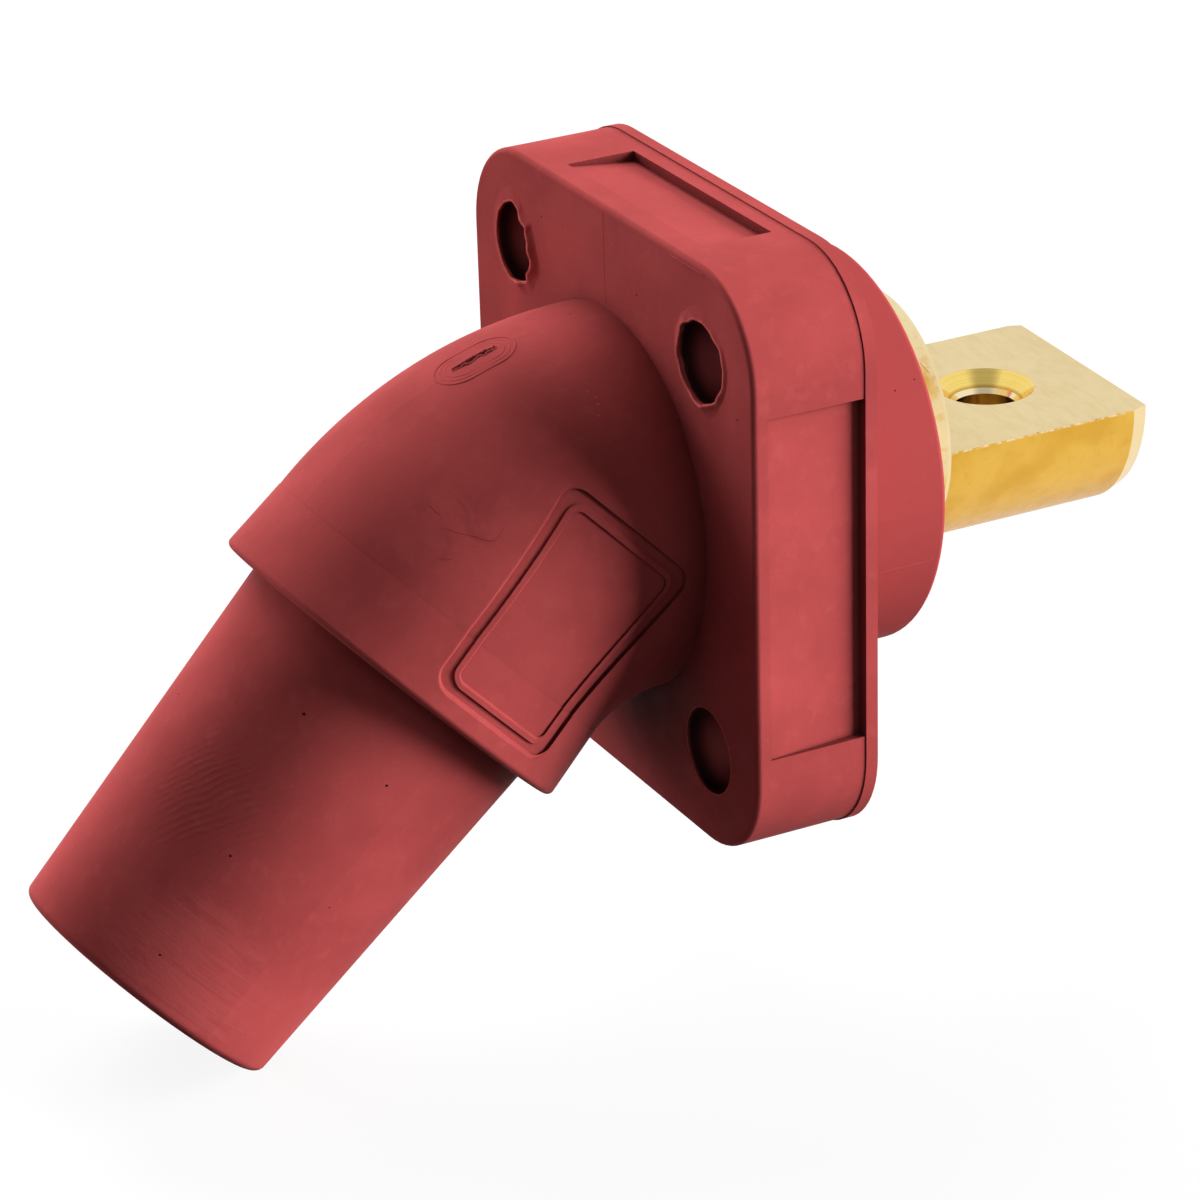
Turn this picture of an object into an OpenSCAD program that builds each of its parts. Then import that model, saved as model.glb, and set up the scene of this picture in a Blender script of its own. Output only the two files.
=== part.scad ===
// Angled single pole cam receptacle for a panel: moulded housing, brass socket and half-round terminal.
// The origin is the centre of the flange's panel face. +Y goes through the panel, +Z is up,
// and the nose points forward and down.

/* [Flange] */
// Width of the flange across its panel edge
flange_w = 63.5; // [58:0.5:76]
// Height of the flange across its panel edge
flange_h = 66; // [62:0.5:80]
// Thickness of the flange
flange_t = 14.5; // [13:0.1:18]
// How far the front outline lies inside the panel edge
flange_draft = 0.2; // [0.2:0.05:1]
// Corner radius of the front outline
corner_r = 10.9; // [7:0.1:13]
// Rounding of the front edge
front_round = 0.6; // [0.3:0.1:2]
// Thickness of the bead along the panel edge
bead_t = 1.4; // [0.8:0.1:2]
// How far the bead stands proud of the sides
bead_h = 0.15; // [0.1:0.05:0.2]

/* [Sunk panels] */
// Width of the panel sunk into the top side
top_panel_w = 30.2; // [18:0.1:34]
// Length of the top panel from front to back
top_panel_l = 8.1; // [4:0.1:8.5]
// Distance of the top panel's back edge from the panel face
top_panel_back = 3.4; // [2.4:0.1:4]
// How far the top panel lies right of the middle
top_panel_shift = 1.1; // [-2:0.1:2]
// Height of the panel sunk into the right-hand side
side_panel_h = 38.4; // [24:0.1:44]
// Length of the side panel from front to back
side_panel_l = 11.4; // [6:0.1:11.4]
// Depth of both panels at their back edge
panel_depth = 1.1; // [0.8:0.1:2]
// Depth of both panels at their front edge
panel_front_depth = 0.3; // [0.25:0.05:0.6]

/* [Mounting holes] */
// Spacing of the screw holes across the flange
hole_span_x = 42; // [39:0.1:43]
// Spacing of the screw holes up the flange
hole_span_z = 44.2; // [42:0.1:46]
// Diameter of the recess for each screw head
head_d = 9.5; // [8:0.1:10]
// Thickness left under each screw head
seat_t = 5; // [3:0.1:8]
// Diameter of each screw hole
screw_d = 5.3; // [4:0.1:6.5]

/* [Boss] */
// Rise of the boss above the flange's centre
boss_rise = 0.3; // [0.1:0.1:1]
// Diameter of the boss that goes through the panel
boss_d = 45.2; // [42:0.1:50]
// Length of the boss behind the panel face
boss_l = 14.1; // [10:0.1:18]
// Rounding of the boss's back edge
boss_round = 0.6; // [0.2:0.1:1.5]

/* [Elbow] */
// Distance from the panel face to the point where the elbow's axes cross
elbow_reach = 27; // [27:0.1:34]
// Angle of the nose below the flange's axis
nose_angle = 44; // [32:0.1:45]
// Bend radius of the elbow's centre line
bend_r = 31.5; // [26:0.5:32]
// Diameter of the elbow
elbow_d = 42.7; // [40:0.1:45]
// Diameter of the collar at its end
collar_d = 43.8; // [43.4:0.1:46]
// Length from the crossing point to the collar's end
collar_l = 20.8; // [16:0.1:24]
// Rounding of the collar's end edge
collar_round = 0.7; // [0.3:0.1:1.5]

/* [Badge] */
// Length of the bare badge sunk into the elbow's right-hand side, along the nose
badge_l = 25.4; // [18:0.1:26]
// Width of the badge across the nose
badge_w = 17.2; // [12:0.1:18]
// Distance of its middle from the crossing point
badge_at = 5.8; // [4:0.1:6.4]
// Corner radius of the badge
badge_r = 2.2; // [1:0.1:4]
// Depth of the badge
badge_depth = 0.5; // [0.35:0.05:0.8]
// Distance of the rib inside the badge from its edge
rib_inset = 1.4; // [1:0.1:3]
// Outer corner radius of the rib
rib_r = 1.7; // [1:0.1:3]
// Width of the rib
rib_w = 0.5; // [0.4:0.05:0.9]
// Height of the rib above the badge's floor
rib_h = 0.3; // [0.15:0.05:0.45]

/* [Nose] */
// Length from the crossing point to the mouth
nose_l = 63.2; // [58:0.1:72]
// Diameter of the nose at the collar
nose_root_d = 36; // [34:0.1:38]
// Diameter that the taper reaches at the mouth
nose_mouth_d = 31.5; // [31:0.1:33.5]
// Rounding of the mouth's outer edge
mouth_round = 1; // [0.4:0.1:2.5]
// Diameter of the opening in the mouth
mouth_d = 18.4; // [17:0.1:20]
// Chamfer of that opening
mouth_chamfer = 1; // [0.4:0.1:1.5]

/* [Contact socket] */
// Outside diameter of the socket
socket_d = 24; // [22.8:0.1:25]
// Bore that takes the mating pin
socket_bore_d = 16; // [15:0.1:16.6]
// Depth of the bore
socket_bore_l = 34; // [28:0.5:38]
// How deep the socket's face lies inside the mouth
socket_recess = 6.5; // [4:0.1:9]
// Chamfer at the bore's mouth
socket_chamfer = 0.8; // [0.3:0.1:1]
// Width of the keyway that lets the locking stud in
key_w = 5.4; // [4:0.1:6.5]
// Depth of the keyway beyond the bore
key_depth = 2.4; // [1.8:0.1:2.6]
// Length of the keyway from the socket's face to the cam groove's far side
key_l = 19; // [14:0.5:22]
// Width of the cam groove
cam_w = 5.8; // [4.5:0.1:7]
// How far the cam groove's axis lies off the bore's axis
cam_offset = 1.4; // [1.4:0.1:1.8]

/* [Terminal] */
// Diameter of the bar
bar_d = 29; // [26:0.1:31]
// Rise of the bar's axis above the flange's centre
bar_rise = 2; // [1:0.1:3]
// Diameter of its shank, from the shoulder to the socket
shank_d = 21.6; // [18:0.1:22.4]
// Length of the bar inside the boss, up to its shoulder
bar_seat_l = 17.2; // [14:0.1:20]
// Length of the full-round stub behind the boss
stub_l = 5.5; // [4:0.1:12]
// Length of the flat tail behind the stub
tail_l = 26.4; // [22:0.1:40]
// Height of the flat above the bar's axis
flat_rise = 0.4; // [-2:0.1:2]
// How far the chamfer round the tail's end takes the bar in
end_chamfer = 0.6; // [0.3:0.1:2]
// Length of that chamfer along the bar
end_chamfer_l = 1.6; // [0.4:0.1:3]
// Angle by which the sawn end is out of square
end_skew = 2.9; // [0:0.1:4]
// Distance of the bolt hole from the tail's end
bolt_from_end = 12.9; // [9:0.1:14]
// Diameter of the bolt hole
bolt_d = 7.2; // [6:0.1:7.6]
// Diameter of its countersink
countersink_d = 11; // [9.5:0.1:13]
// Included angle of the countersink
countersink_angle = 82; // [60:1:90]
// Diameter at the countersink's foot, where a short lead-in runs down to the hole
lead_d = 8; // [7.8:0.1:9.2]
// Length of the lead-in
lead_l = 0.6; // [0.3:0.1:1]

/* [Moulding fit] */
// Gap between the brass and the elastomer moulded round it
mould_gap = 0.05; // [0.02:0.01:0.2]
// Width of the grooves in the brass that lock the elastomer
lock_w = 3; // [2:0.1:4]
// Depth of those grooves
lock_depth = 1.2; // [0.6:0.1:1.6]
// Distance of the socket's lock groove from the crossing point
socket_lock_at = 26; // [24:0.5:30]
// Distance of the bar's lock groove from its shoulder
bar_lock_at = 8; // [5:0.5:10]

/* [Hidden] */
$fn = 96;
// Overrun that lets a cut pass clear through a face
cut = 1;
// Segments of a small rounding
round_steps = 6;
// How far the collar laps over the bend, and how far it stands proud there
collar_lap = 0.5;
collar_step = 0.05;
// How far the shank's hollow runs into the socket's hollow
mitre_lap = 0.2;

// Outline of the flange
bead_r = corner_r + flange_draft;
corner_x = flange_w / 2 - bead_r;
corner_z = flange_h / 2 - bead_r;
side_lean = (flange_draft - bead_h) / (flange_t - bead_t);

// Elbow and nose
elbow_r = elbow_d / 2;
bend_tangent = bend_r * tan(nose_angle / 2);
bend_start = elbow_reach - bend_tangent;
nose_taper = (nose_root_d - nose_mouth_d) / 2 / (nose_l - collar_l);

// Crossing of the bar's axis with the nose's axis, measured along the nose
mitre_at = -bar_rise / sin(nose_angle);
socket_face = nose_l - socket_recess;
bore_end = socket_face - socket_bore_l;
cam_r = socket_bore_d / 2 + key_depth - cam_offset;

// Bar, along +Y
bar_front = boss_l - bar_seat_l;
flat_start = boss_l + stub_l;
bar_end = flat_start + tail_l;
bolt_at = bar_end - bolt_from_end;
countersink_depth = (countersink_d - lead_d) / 2 / tan(countersink_angle / 2);
// A length longer than any piece, for half-space cuts
beyond = nose_l + bar_end;

// Turns a shape drawn along +Z so that it runs forward, from the panel face to the front
module forward() {
    rotate([90, 0, 0]) children();
}

// Turns a shape drawn along +Z so that it runs back along the bar's axis
module along_bar() {
    translate([0, 0, bar_rise]) rotate([-90, 0, 0]) children();
}

// Turns a shape drawn along +Z so that it runs from the elbow's crossing point to the mouth
module along_nose() {
    translate([0, -elbow_reach, 0]) rotate([90 + nose_angle, 0, 0]) children();
}

// Points of a convex rounding about a centre, from one angle to another
function rounding(centre, r, from, to) = [
    for (i = [0 : round_steps])
        let (a = from + (to - from) * i / round_steps)
        centre + r * [cos(a), sin(a)]
];

// Half of the flange's section: distance out from a corner's axis, against height from the panel face
function flange_edge(out) =
    let (edge = [out + corner_r - front_round + side_lean * front_round, flange_t - front_round])
    concat(
        [[out + bead_r, 0], [out + bead_r, bead_t], [out + bead_r - bead_h, bead_t]],
        rounding(edge, front_round, 0, 90)
    );

// Drops the x sign of a list of points and turns their order, for the other half of a section
function mirrored(points) = [for (i = [len(points) - 1 : -1 : 0]) [-points[i][0], points[i][1]]];

// Bar of the flange's full section, as long as the straight part of one side
module flange_bar(out, length) {
    rotate([90, 0, 0]) translate([0, 0, -length / 2]) linear_extrude(length)
        polygon(concat(flange_edge(out), mirrored(flange_edge(out))));
}

module flange_blank() {
    forward() {
        flange_bar(corner_x, 2 * corner_z);
        rotate([0, 0, 90]) flange_bar(corner_z, 2 * corner_x);
        for (x = [-corner_x, corner_x], z = [-corner_z, corner_z])
            translate([x, z, 0]) rotate_extrude()
                polygon(concat([[0, 0]], flange_edge(0), [[0, flange_t]]));
    }
}

// Round pipe of the elbow: straight root, bend and collar, grown by a little
module elbow(grow) {
    r = elbow_r + grow;
    end_r = collar_d / 2 + grow;
    forward() cylinder(r = r, h = bend_start);
    translate([0, -bend_start, -bend_r]) rotate([0, -90, 180])
        rotate_extrude(angle = nose_angle) translate([bend_r, 0]) circle(r);
    along_nose() rotate_extrude() polygon(concat(
        [[0, bend_tangent - collar_lap], [r + collar_step, bend_tangent - collar_lap]],
        rounding([end_r - collar_round, collar_l - collar_round], collar_round, 0, 90),
        [[0, collar_l]]
    ));
}

// Rounded block that stands out of the elbow's right-hand side, set in from the badge's edge
module badge_block(inset, r) {
    half_l = badge_l / 2 - inset - r;
    half_w = badge_w / 2 - inset - r;
    along_nose() translate([0, 0, badge_at]) rotate([0, 90, 0]) {
        translate([-half_l - r, -half_w, 0]) cube([2 * (half_l + r), 2 * half_w, elbow_d]);
        translate([-half_l, -half_w - r, 0]) cube([2 * half_l, 2 * (half_w + r), elbow_d]);
        for (x = [-half_l, half_l], y = [-half_w, half_w])
            translate([x, y, 0]) cylinder(r = r, h = elbow_d);
    }
}

// Cut for the badge, which leaves a thin rib standing on its floor
module badge_cut() {
    difference() {
        badge_block(0, badge_r);
        elbow(-badge_depth);
        intersection() {
            elbow(rib_h - badge_depth);
            difference() {
                badge_block(rib_inset, rib_r);
                badge_block(rib_inset + rib_w, rib_r - rib_w);
            }
        }
    }
}

// Tapered nose with a rounded mouth
module nose() {
    mouth_edge = [nose_mouth_d / 2 - mouth_round + nose_taper * mouth_round, nose_l - mouth_round];
    along_nose() rotate_extrude() polygon(concat(
        [[0, collar_l - cut], [nose_root_d / 2, collar_l - cut], [nose_root_d / 2, collar_l]],
        rounding(mouth_edge, mouth_round, 0, 90),
        [[0, nose_l]]
    ));
}

module boss() {
    translate([0, 0, boss_rise]) rotate([-90, 0, 0]) rotate_extrude() polygon(concat(
        [[0, -cut], [boss_d / 2, -cut]],
        rounding([boss_d / 2 - boss_round, boss_l - boss_round], boss_round, 0, 90),
        [[0, boss_l]]
    ));
}

// Section of a sunk panel: distance out from its deepest line, against distance back from its front edge
function panel_section(length) = [
    [panel_depth - panel_front_depth, 0],
    [0, length],
    [panel_depth + cut, length],
    [panel_depth + cut, 0]
];

// Cuts for the sunk panels, whose floors slope down towards the panel face
module sunk_panels() {
    top_floor = flange_h / 2 - bead_h - panel_depth;
    translate([top_panel_shift + top_panel_w / 2, -top_panel_back - top_panel_l, top_floor])
        rotate([0, -90, 0]) linear_extrude(top_panel_w) polygon(panel_section(top_panel_l));
    side_floor = flange_w / 2 - bead_h - panel_depth;
    translate([side_floor, -bead_t - side_panel_l, -side_panel_h / 2])
        linear_extrude(side_panel_h) polygon(panel_section(side_panel_l));
}

module screw_holes() {
    forward() for (x = [-1, 1], z = [-1, 1])
        translate([x * hole_span_x / 2, z * hole_span_z / 2, 0]) {
            translate([0, 0, -cut]) cylinder(d = screw_d, h = flange_t);
            translate([0, 0, seat_t]) cylinder(d = head_d, h = flange_t - seat_t + cut);
        }
}

// Half space in front of the mitre that halves the angle between bar and nose, or behind it with a lap
module mitre_side(front, lap) {
    along_nose() translate([0, 0, mitre_at]) rotate([-nose_angle / 2, 0, 0])
        translate([-beyond, -beyond, front ? 0 : lap - 2 * beyond]) cube(2 * beyond);
}

// Ring of a lock groove round a piece of one diameter, shrunk by a gap
module lock_ring(d, gap) {
    difference() {
        cylinder(d = d + 2 * cut, h = lock_w - 2 * gap);
        translate([0, 0, -cut]) cylinder(d = d - 2 * lock_depth + 2 * gap, h = lock_w + 2 * cut);
    }
}

// Outside of the socket, from the mitre to its face, grown by a gap
module socket_outside(gap) {
    root = mitre_at - socket_d;
    intersection() {
        along_nose() difference() {
            translate([0, 0, root]) cylinder(d = socket_d + 2 * gap, h = socket_face - root);
            translate([0, 0, socket_lock_at + gap]) lock_ring(socket_d, gap);
        }
        mitre_side(true, 0);
    }
}

// Outside of the bar and its shank, from a lap past the mitre back to one end, grown by a gap
module bar_outside(gap, back, lap) {
    root = -elbow_reach - socket_d;
    intersection() {
        along_bar() difference() {
            union() {
                translate([0, 0, root]) cylinder(d = shank_d + 2 * gap, h = bar_front + cut - root);
                translate([0, 0, bar_front - gap])
                    cylinder(d = bar_d + 2 * gap, h = back - bar_front + gap);
            }
            translate([0, 0, bar_front + bar_lock_at + gap]) lock_ring(bar_d, gap);
        }
        mitre_side(false, lap);
    }
}

module housing() {
    color("indianred") difference() {
        union() {
            flange_blank();
            elbow(0);
            nose();
            boss();
        }
        sunk_panels();
        badge_cut();
        screw_holes();
        socket_outside(mould_gap);
        bar_outside(mould_gap, boss_l + cut, mitre_lap);
        along_nose() {
            translate([0, 0, socket_face - cut]) cylinder(d = mouth_d, h = socket_recess + 2 * cut);
            translate([0, 0, nose_l - mouth_chamfer])
                cylinder(d1 = mouth_d, d2 = mouth_d + 2 * (mouth_chamfer + cut), h = mouth_chamfer + cut);
        }
    }
}

// Bore, keyway and off-centre cam groove of the socket, along +Z with the face at the top
module socket_bore() {
    chamfer_d = socket_bore_d + 2 * (socket_chamfer + cut);
    translate([0, 0, bore_end]) cylinder(d = socket_bore_d, h = socket_bore_l + cut);
    translate([0, 0, socket_face - socket_chamfer])
        cylinder(d1 = socket_bore_d, d2 = chamfer_d, h = socket_chamfer + cut);
    translate([-key_w / 2, 0, socket_face - key_l])
        cube([key_w, socket_bore_d / 2 + key_depth, key_l + cut]);
    translate([0, cam_offset, socket_face - key_l]) cylinder(r = cam_r, h = cam_w);
}

module contact_socket() {
    color("goldenrod") difference() {
        socket_outside(0);
        along_nose() socket_bore();
    }
}

// Countersunk bolt hole, down from the flat at the origin
module bolt_hole() {
    spread = cut * tan(countersink_angle / 2);
    translate([0, 0, -bar_d]) cylinder(d = bolt_d, h = bar_d + cut);
    translate([0, 0, -countersink_depth - lead_l]) cylinder(d1 = bolt_d, d2 = lead_d, h = lead_l);
    translate([0, 0, -countersink_depth])
        cylinder(d1 = lead_d, d2 = countersink_d + 2 * spread, h = countersink_depth + cut);
}

// Everything behind the tail's skewed end and outside its chamfer
module end_cut() {
    run_in = end_chamfer_l + cut;
    chamfer_slope = end_chamfer / end_chamfer_l;
    end_r = bar_d / 2 - end_chamfer;
    translate([0, bar_end, bar_rise]) rotate([0, 0, -end_skew]) rotate([-90, 0, 0]) difference() {
        translate([0, 0, -run_in]) cylinder(r = bar_d, h = run_in + beyond);
        translate([0, 0, -run_in]) cylinder(r1 = end_r + chamfer_slope * run_in, r2 = end_r, h = run_in);
    }
}

// Half-round tail: everything above the flat is milled away behind the stub
module tail_cuts() {
    translate([0, 0, bar_rise + flat_rise]) {
        translate([-bar_d, flat_start, 0]) cube([2 * bar_d, tail_l + 3 * cut, bar_d]);
        translate([0, bolt_at, 0]) bolt_hole();
    }
    end_cut();
}

module busbar_terminal() {
    color("gold") difference() {
        bar_outside(0, bar_end + 2 * cut, 0);
        tail_cuts();
    }
}

housing();
contact_socket();
busbar_terminal();
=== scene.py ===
"""Looks of an angled single pole cam receptacle: finishes, moulding marks, light and camera."""

import math

import bpy
import numpy as np
from mathutils import Matrix, Vector


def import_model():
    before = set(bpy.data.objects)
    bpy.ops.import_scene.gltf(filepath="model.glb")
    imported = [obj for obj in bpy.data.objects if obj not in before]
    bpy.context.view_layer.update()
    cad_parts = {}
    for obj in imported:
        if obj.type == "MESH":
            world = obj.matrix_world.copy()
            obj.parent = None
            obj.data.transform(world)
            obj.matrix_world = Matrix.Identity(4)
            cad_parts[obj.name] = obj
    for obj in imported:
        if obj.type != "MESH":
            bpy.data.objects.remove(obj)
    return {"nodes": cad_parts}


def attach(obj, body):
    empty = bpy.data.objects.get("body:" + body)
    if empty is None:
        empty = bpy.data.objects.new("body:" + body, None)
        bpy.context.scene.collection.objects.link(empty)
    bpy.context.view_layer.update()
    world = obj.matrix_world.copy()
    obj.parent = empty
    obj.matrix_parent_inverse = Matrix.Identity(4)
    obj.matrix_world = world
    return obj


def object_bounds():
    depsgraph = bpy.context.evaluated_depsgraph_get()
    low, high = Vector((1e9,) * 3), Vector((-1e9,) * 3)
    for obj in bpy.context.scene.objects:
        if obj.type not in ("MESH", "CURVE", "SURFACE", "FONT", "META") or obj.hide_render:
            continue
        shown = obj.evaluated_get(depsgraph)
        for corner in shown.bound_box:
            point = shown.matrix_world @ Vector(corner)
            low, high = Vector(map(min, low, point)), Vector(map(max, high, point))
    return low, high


MM = 0.001

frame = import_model()
cad_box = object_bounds()
nodes = frame["nodes"]

# Camera, fitted to the photograph's outlines
CAMERA_AT = (0.400694, -0.220666, 0.193675)
CAMERA_AZIMUTH = 62.971
CAMERA_ELEVATION = 24.603
CAMERA_ROLL = -1.682
CAMERA_LENS = 136.054
SENSOR = 36.0

# Places on the part, in millimetres in its own frame
FRONT_FACE = -14.5
ELBOW_POINT = (0.0, -27.0, 0.0)
NOSE_ANGLE = 44.0
BOSS_RISE, BOSS_LENGTH = 0.3, 14.1
BAR_RADIUS, BAR_RISE = 14.5, 2.0
FLAT_START, FLAT_LEVEL = 19.6, 2.4
BOLT_AT, SINK_RADIUS = 33.1, 5.5
SINK_FLOOR, LEAD_FLOOR = 0.67, 0.07
HEAD_RADIUS = 4.75
HOLE_X, HOLE_Z = 21.0, 22.1
INTO_FRONT, INTO_SIDE, DOWN = (0, 1, 0), (-1, 0, 0), (0, 0, -1)

NOSE_TURN = math.radians(NOSE_ANGLE)
NOSE_AXIS = Vector((0, -math.cos(NOSE_TURN), -math.sin(NOSE_TURN)))


def linear(red, green, blue):
    """Linear colour of an 8-bit screen colour."""
    def one(c):
        c /= 255
        return c / 12.92 if c <= 0.04045 else ((c + 0.055) / 1.055) ** 2.4
    return (one(red), one(green), one(blue), 1.0)


class Nodes:
    """Adds shader nodes to one material and links them by socket."""

    def __init__(self, name):
        self.material = bpy.data.materials.new(name)
        self.material.use_nodes = True
        self.tree = self.material.node_tree
        self.tree.nodes.clear()

    def add(self, kind, inputs=None, **settings):
        """New node with its settings, and a value or a link for each named input."""
        made = self.tree.nodes.new(kind)
        for key, value in settings.items():
            setattr(made, key, value)
        for key, value in (inputs or {}).items():
            self.put(made.inputs[key], value)
        return made

    def put(self, socket, value):
        """Links a socket, or sets a plain value on it."""
        if isinstance(value, bpy.types.NodeSocket):
            self.tree.links.new(value, socket)
        else:
            socket.default_value = value

    def math(self, operation, *values):
        made = self.add("ShaderNodeMath", operation=operation)
        for socket, value in zip(made.inputs, values):
            self.put(socket, value)
        return made.outputs[0]

    def vector(self, operation, *values):
        made = self.add("ShaderNodeVectorMath", operation=operation)
        for socket, value in zip(made.inputs, values):
            self.put(socket, value)
        return made.outputs["Value" if operation in ("DOT_PRODUCT", "DISTANCE", "LENGTH") else "Vector"]

    def ramp(self, value, low, high, to_low=0.0, to_high=1.0):
        """Smooth step from one level to another as a value goes from low to high."""
        inputs = {"Value": value, "From Min": low, "From Max": high, "To Min": to_low, "To Max": to_high}
        return self.add("ShaderNodeMapRange", inputs, interpolation_type="SMOOTHSTEP").outputs["Result"]

    def mix(self, share, first, second):
        """Colour that goes from the first to the second as the share grows."""
        made = self.add("ShaderNodeMix", data_type="RGBA")
        self.put(made.inputs["Factor"], share)
        self.put(made.inputs["A"], first)
        self.put(made.inputs["B"], second)
        return made.outputs["Result"]

    def noise(self, vector, scale, detail=3.0, roughness=0.5, distortion=0.0):
        made = self.add("ShaderNodeTexNoise", {"Vector": vector, "Scale": scale, "Detail": detail,
                                               "Roughness": roughness, "Distortion": distortion})
        return made.outputs["Fac"]

    def place(self):
        """Position on the part, in millimetres."""
        metres = self.add("ShaderNodeTexCoord").outputs["Object"]
        return self.vector("MULTIPLY", metres, (1 / MM, 1 / MM, 1 / MM))

    def along(self, place, direction, start=(0, 0, 0)):
        """Distance along one direction from a start point."""
        return self.vector("DOT_PRODUCT", self.vector("SUBTRACT", place, tuple(start)), tuple(direction))

    def near(self, place, point, inside, outside):
        """1 close to a point, falling to 0 further off."""
        return self.ramp(self.vector("DISTANCE", place, tuple(point)), inside, outside, 1, 0)

    def both(self, *shares):
        """Share of the places where all the given shares hold."""
        made = shares[0]
        for share in shares[1:]:
            made = self.math("MULTIPLY", made, share)
        return made

    def finish(self, shader):
        """Material that shows a shader."""
        out = self.add("ShaderNodeOutputMaterial")
        self.tree.links.new(shader, out.inputs["Surface"])
        return self.material


# Elastomer; the scales of noise in the materials are per millimetre
RED = linear(176, 74, 74)
RED_PALE = linear(190, 89, 88)
RED_DEEP = linear(160, 66, 66)
RED_CREVICE_SHADE = linear(72, 33, 33)
# Painted shade of the screw recesses, near the rim and further in
HOLE_SHADE, HOLE_SHADE_DEEP = linear(36, 15, 15), linear(112, 48, 48)
GRIME = linear(58, 24, 24)

# Fine curved ripples and long flow streaks on the nose
RIPPLE_AT, RIPPLE_ACROSS, RIPPLE_PITCH = (9.7, -66.8, -19.3), (0.68, -0.055, -0.726), 0.8
STREAK_AT = (14.0, -73.0, -36.0)
# Faint smudges on the left of the elbow
SMUDGE_AT = (14.7, -39.6, 8.0)
# How far the painted shade of narrow crevices and of wide gaps reaches
CREVICE_REACH, GAP_REACH = 14.0, 30.0


def elastomer_material():
    """Matte moulded rubber: mottled, rippled on the nose, with painted shade in its hollows and screw
    recesses.
    """
    m = Nodes("elastomer_red")
    place = m.place()
    inward = m.along(place, INTO_FRONT)
    broad = m.noise(place, 0.07, 4, 0.55)
    blotch = m.noise(place, 0.5, 3, 0.6)
    grain = m.noise(place, 3.0, 2, 0.6)
    speck = m.noise(place, 2.2, 4, 0.7)

    # Ripples run in narrow bands; streaks are stretched round the nose
    wander = m.math("MULTIPLY", m.noise(place, 0.16, 3), 16.0)
    turns = m.math("MULTIPLY", m.along(place, RIPPLE_ACROSS), 2 * math.pi / RIPPLE_PITCH)
    phase = m.math("ADD", turns, wander)
    ripple = m.both(m.math("SINE", phase), m.near(place, RIPPLE_AT, 2.0, 10.0), m.ramp(blotch, 0.3, 0.65))
    out = m.math("MULTIPLY", m.along(place, NOSE_AXIS, ELBOW_POINT), 0.9)
    across = m.math("MULTIPLY", m.along(place, (0.7, 0.5, -0.5)), 0.1)
    round_nose = m.add("ShaderNodeCombineXYZ", {"X": out, "Y": across, "Z": 0.0}).outputs[0]
    streak = m.both(m.noise(round_nose, 1.0, 5, 0.65, 1.2), m.near(place, STREAK_AT, 5.0, 17.0))
    smudge = m.both(m.ramp(m.noise(place, 0.2, 3, 0.6, 0.8), 0.45, 0.65), m.near(place, SMUDGE_AT, 2.0, 8.0))

    # Painted shade: the colour darkens to a deep red where the part's own surfaces close round a point, in
    # crevices and in wide gaps
    hollow = m.add("ShaderNodeAmbientOcclusion", {"Distance": CREVICE_REACH * MM}, samples=4, only_local=True)
    gap = m.add("ShaderNodeAmbientOcclusion", {"Distance": GAP_REACH * MM}, samples=2, only_local=True)
    unshaded_share = m.both(m.ramp(hollow.outputs["AO"], 0.1, 0.72), m.ramp(gap.outputs["AO"], 0.15, 0.58))

    # Painted shade in the screw recesses: dark near the rim, a little paler further in
    quarter = m.vector("ABSOLUTE", m.vector("MULTIPLY", place, (1, 0, 1)))
    aside = m.vector("LENGTH", m.vector("SUBTRACT", quarter, (HOLE_X, 0, HOLE_Z)))
    recess = m.both(m.ramp(aside, HEAD_RADIUS + 0.05, HEAD_RADIUS + 0.15, 1, 0),
                    m.ramp(inward, FRONT_FACE, FRONT_FACE + 0.4))
    recess_shade = m.mix(m.ramp(inward, FRONT_FACE + 0.8, FRONT_FACE + 3.0), HOLE_SHADE, HOLE_SHADE_DEEP)

    colour = m.mix(m.ramp(broad, 0.35, 0.7), RED_DEEP, RED)
    colour = m.mix(m.ramp(blotch, 0.5, 0.75, 0, 0.25), colour, RED_PALE)
    colour = m.mix(m.ramp(grain, 0.45, 0.7, 0, 0.22), colour, RED_DEEP)
    colour = m.mix(m.ramp(speck, 0.66, 0.74, 0, 0.3), colour, GRIME)
    colour = m.mix(m.ramp(streak, 0.35, 0.6, 0, 0.3), colour, RED_PALE)
    colour = m.mix(m.ramp(ripple, 0.0, 0.9, 0, 0.2), colour, GRIME)
    colour = m.mix(m.math("MULTIPLY", smudge, 0.2), colour, GRIME)
    # The boss is a little deeper in colour than the front
    colour = m.mix(m.ramp(inward, 0.2, 0.8, 0, 0.9), colour, RED_DEEP)
    # Painted shade in the crevices and gaps
    colour = m.mix(unshaded_share, RED_CREVICE_SHADE, colour)
    # Painted shade in the screw recesses
    colour = m.mix(recess, colour, recess_shade)

    height = m.math("ADD", m.math("MULTIPLY", grain, 0.02), m.math("MULTIPLY", blotch, 0.03))
    height = m.math("ADD", height, m.math("MULTIPLY", ripple, 0.022))
    height = m.math("ADD", height, m.math("MULTIPLY", streak, 0.05))
    bump = m.add("ShaderNodeBump", {"Strength": 0.5, "Distance": MM, "Height": height})
    shader = m.add("ShaderNodeBsdfPrincipled", {
        "Base Color": colour, "Roughness": m.ramp(blotch, 0.3, 0.7, 0.6, 0.7),
        "Specular IOR Level": 0.04, "Normal": bump.outputs["Normal"]})
    return m.finish(shader.outputs[0])


def dark_material(name, dark, pale):
    """Dull, uneven elastomer between two colours: painted shade for the gate slit and the pits, faint marks,
    or pale scuffs and a painted highlight.
    """
    m = Nodes(name)
    place = m.place()
    colour = m.mix(m.ramp(m.noise(place, 4.0, 3, 0.6), 0.4, 0.7), dark, pale)
    shader = m.add("ShaderNodeBsdfPrincipled", {
        "Base Color": colour, "Roughness": 0.85, "Specular IOR Level": 0.05})
    return m.finish(shader.outputs[0])


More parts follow.
